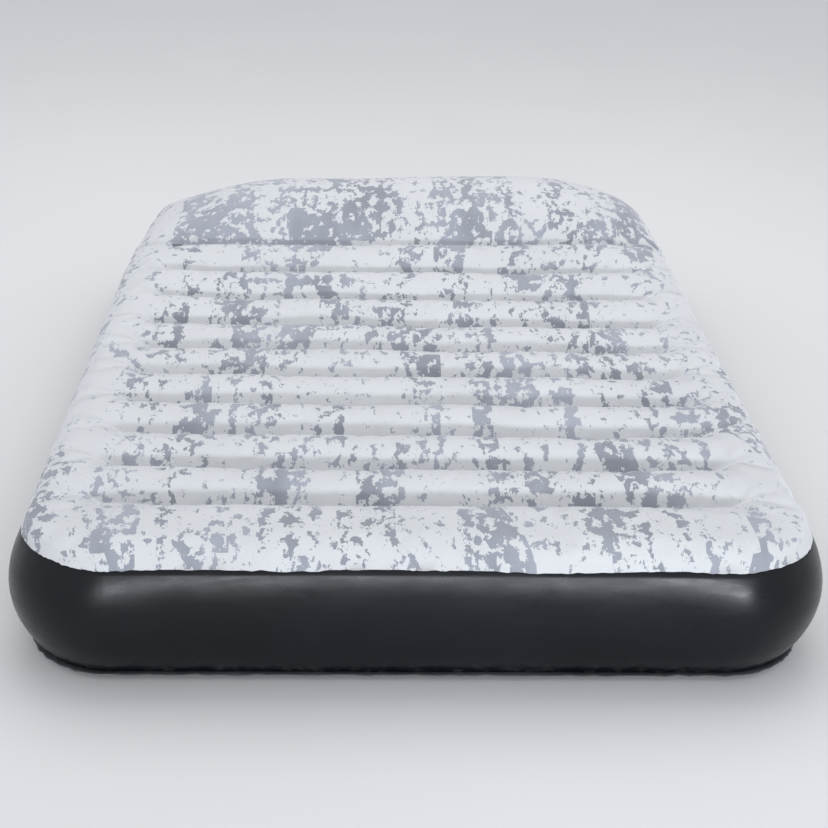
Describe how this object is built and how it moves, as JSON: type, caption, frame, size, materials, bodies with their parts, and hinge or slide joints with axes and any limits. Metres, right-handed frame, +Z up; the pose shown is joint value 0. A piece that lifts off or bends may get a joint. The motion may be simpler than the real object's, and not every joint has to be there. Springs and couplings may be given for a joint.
{
  "type": "air mattress",
  "caption": "Inflated flocked air mattress with transverse beams, a raised built-in pillow, a smooth side band and a screw-in valve with flip cap.",
  "frame": {"origin": "on the floor under the middle of the inflated mattress", "axes": "+Z up, +Y along the length from the foot to the pillow, +X across the width to the valve side"},
  "size_m": [1.3819, 1.91, 0.36],
  "materials": {
    "flocked_top": "flocked, light grey with a blotched blue-grey print",
    "band_vinyl": "satin vinyl, charcoal navy",
    "web_vinyl": "satin vinyl, dark grey",
    "valve_vinyl": "satin moulded soft vinyl",
    "valve_plastic": "satin moulded plastic, grey",
    "seal_rubber": "matte black",
    "flap_vinyl": "soft translucent vinyl, off-white"
  },
  "bodies": {
    "root": {"top_sheet": "flocked_top", "side_band": "band_vinyl", "base_sheet": "band_vinyl", "beam_web_01": "web_vinyl", "beam_web_02": "web_vinyl", "beam_web_03": "web_vinyl", "beam_web_04": "web_vinyl", "beam_web_05": "web_vinyl", "beam_web_06": "web_vinyl", "beam_web_07": "web_vinyl", "beam_web_08": "web_vinyl", "beam_web_09": "web_vinyl", "beam_web_10": "web_vinyl", "valve_patch": "band_vinyl", "valve_base": "valve_vinyl"},
    "leash": {"valve_leash": "valve_vinyl"},
    "insert": {"valve_insert": "valve_plastic", "valve_seal": "seal_rubber"},
    "cap": {"valve_cap": "valve_plastic"},
    "flap": {"valve_flap": "flap_vinyl"}
  },
  "joints": [
    {"name": "insert_lift", "type": "slide", "parent": "root", "child": "leash", "axis": [1, 0, 0], "range_m": [0, 0.004]},
    {"name": "insert_turn", "type": "hinge", "parent": "leash", "child": "insert", "pos_m": [0.685, 0.6, 0.124], "axis": [1, 0, 0], "range_deg": [0, 450]},
    {"name": "cap_open", "type": "hinge", "parent": "insert", "child": "cap", "pos_m": [0.695, 0.6, 0.1435], "axis": [0, -1, 0], "range_deg": [0, 150]},
    {"name": "flap_open", "type": "hinge", "parent": "insert", "child": "flap", "pos_m": [0.6722, 0.6, 0.1386], "axis": [0, 1, 0], "range_deg": [0, 45]}
  ],
  "couplings": [
    {"joint": "insert_lift", "follows": "insert_turn", "m_per_rad": 0.0005093}
  ]
}
